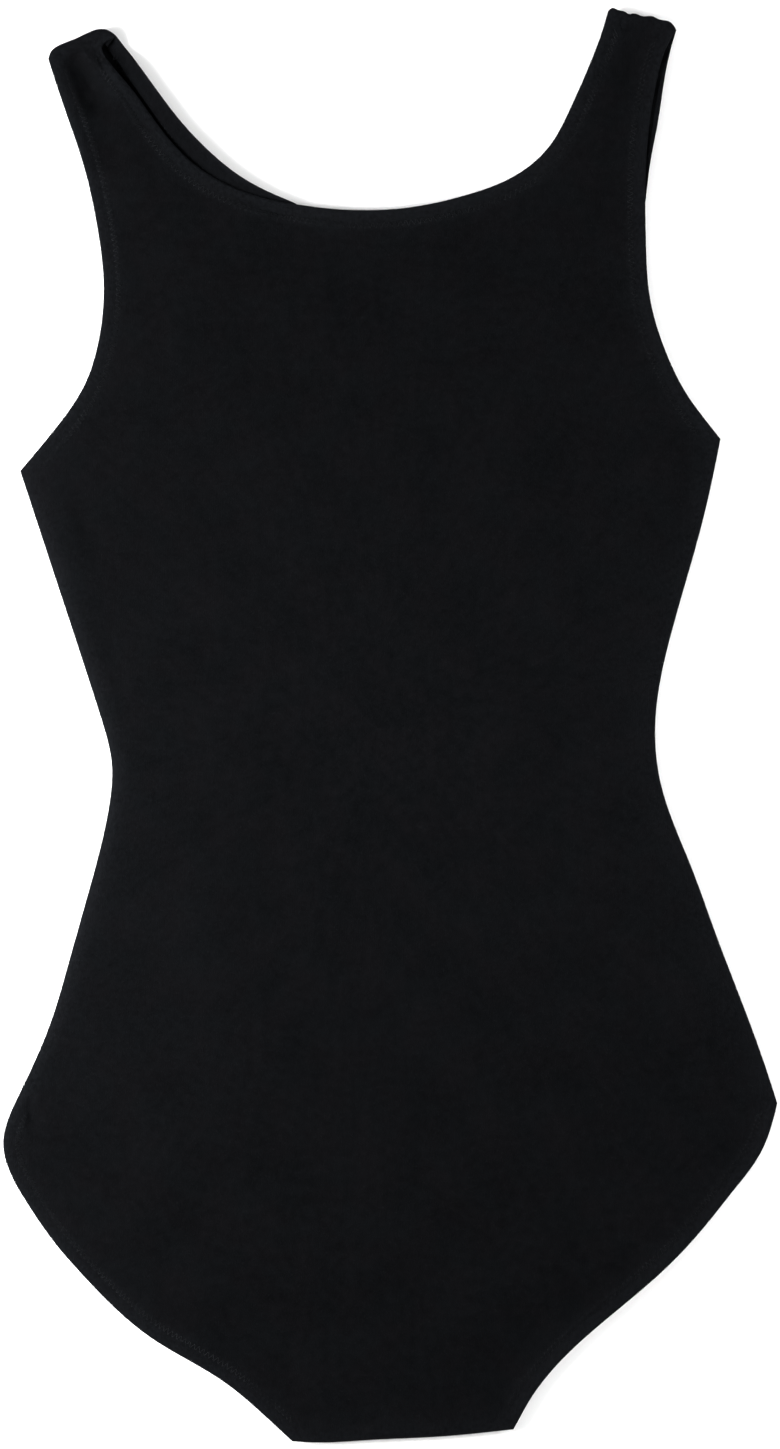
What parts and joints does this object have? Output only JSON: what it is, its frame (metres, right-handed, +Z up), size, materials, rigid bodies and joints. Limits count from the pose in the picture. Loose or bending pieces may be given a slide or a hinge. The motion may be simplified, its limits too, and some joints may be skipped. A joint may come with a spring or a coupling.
{
  "type": "gymnastics leotard",
  "caption": "Black sleeveless scoop-neck stretch leotard laid flat on its front, with wide straps, high-cut legs and turned elastic hems; it folds at the waist and at each strap.",
  "frame": {"origin": "centre of the laid garment's footprint, on the surface that it lies on", "axes": "+Z up out of that surface, through the back panel; +Y from the crotch to the straps; -X is the wearer's left"},
  "size_m": [0.3514, 0.6485, 0.0086],
  "materials": {
    "jersey": "matte",
    "elastic": "matte",
    "thread": "satin",
    "lining": "matte",
    "label": "satin"
  },
  "bodies": {
    "torso": {"back_panel_torso": "jersey", "care_label": "label", "front_panel_torso": "jersey", "left_armhole_elastic_torso": "elastic", "left_armhole_stitching_torso": "thread", "left_side_seam_torso": "thread", "neck_elastic_torso": "elastic", "neck_stitching_torso": "thread", "right_armhole_elastic_torso": "elastic", "right_armhole_stitching_torso": "thread", "right_side_seam_torso": "thread"},
    "hips": {"back_panel_hips": "jersey", "crotch_seam": "thread", "front_panel_hips": "jersey", "gusset_lining": "lining", "gusset_stitching": "thread", "left_leg_elastic_hips": "elastic", "left_leg_stitching_hips": "thread", "left_side_seam_hips": "thread", "right_leg_elastic_hips": "elastic", "right_leg_stitching_hips": "thread", "right_side_seam_hips": "thread"},
    "left_strap": {"back_panel_left_strap": "jersey", "front_panel_left_strap": "jersey", "left_armhole_elastic_left_strap": "elastic", "left_armhole_stitching_left_strap": "thread", "left_shoulder_seam_left_strap": "thread", "neck_elastic_left_strap": "elastic", "neck_stitching_left_strap": "thread"},
    "right_strap": {"back_panel_right_strap": "jersey", "front_panel_right_strap": "jersey", "neck_elastic_right_strap": "elastic", "neck_stitching_right_strap": "thread", "right_armhole_elastic_right_strap": "elastic", "right_armhole_stitching_right_strap": "thread", "right_shoulder_seam_right_strap": "thread"}
  },
  "joints": [
    {"name": "waist_fold", "type": "hinge", "parent": "torso", "child": "hips", "pos_m": [0, -0.011, 0.0132], "axis": [-1, 0, 0], "range_deg": [0, 180]},
    {"name": "left_strap_fold", "type": "hinge", "parent": "torso", "child": "left_strap", "pos_m": [-0.104, 0.265, 0.0088], "axis": [0.9114, 0.4115, 0], "range_deg": [0, 180]},
    {"name": "right_strap_fold", "type": "hinge", "parent": "torso", "child": "right_strap", "pos_m": [0.113, 0.266, 0.0088], "axis": [0.95, -0.3123, 0], "range_deg": [0, 180]}
  ]
}
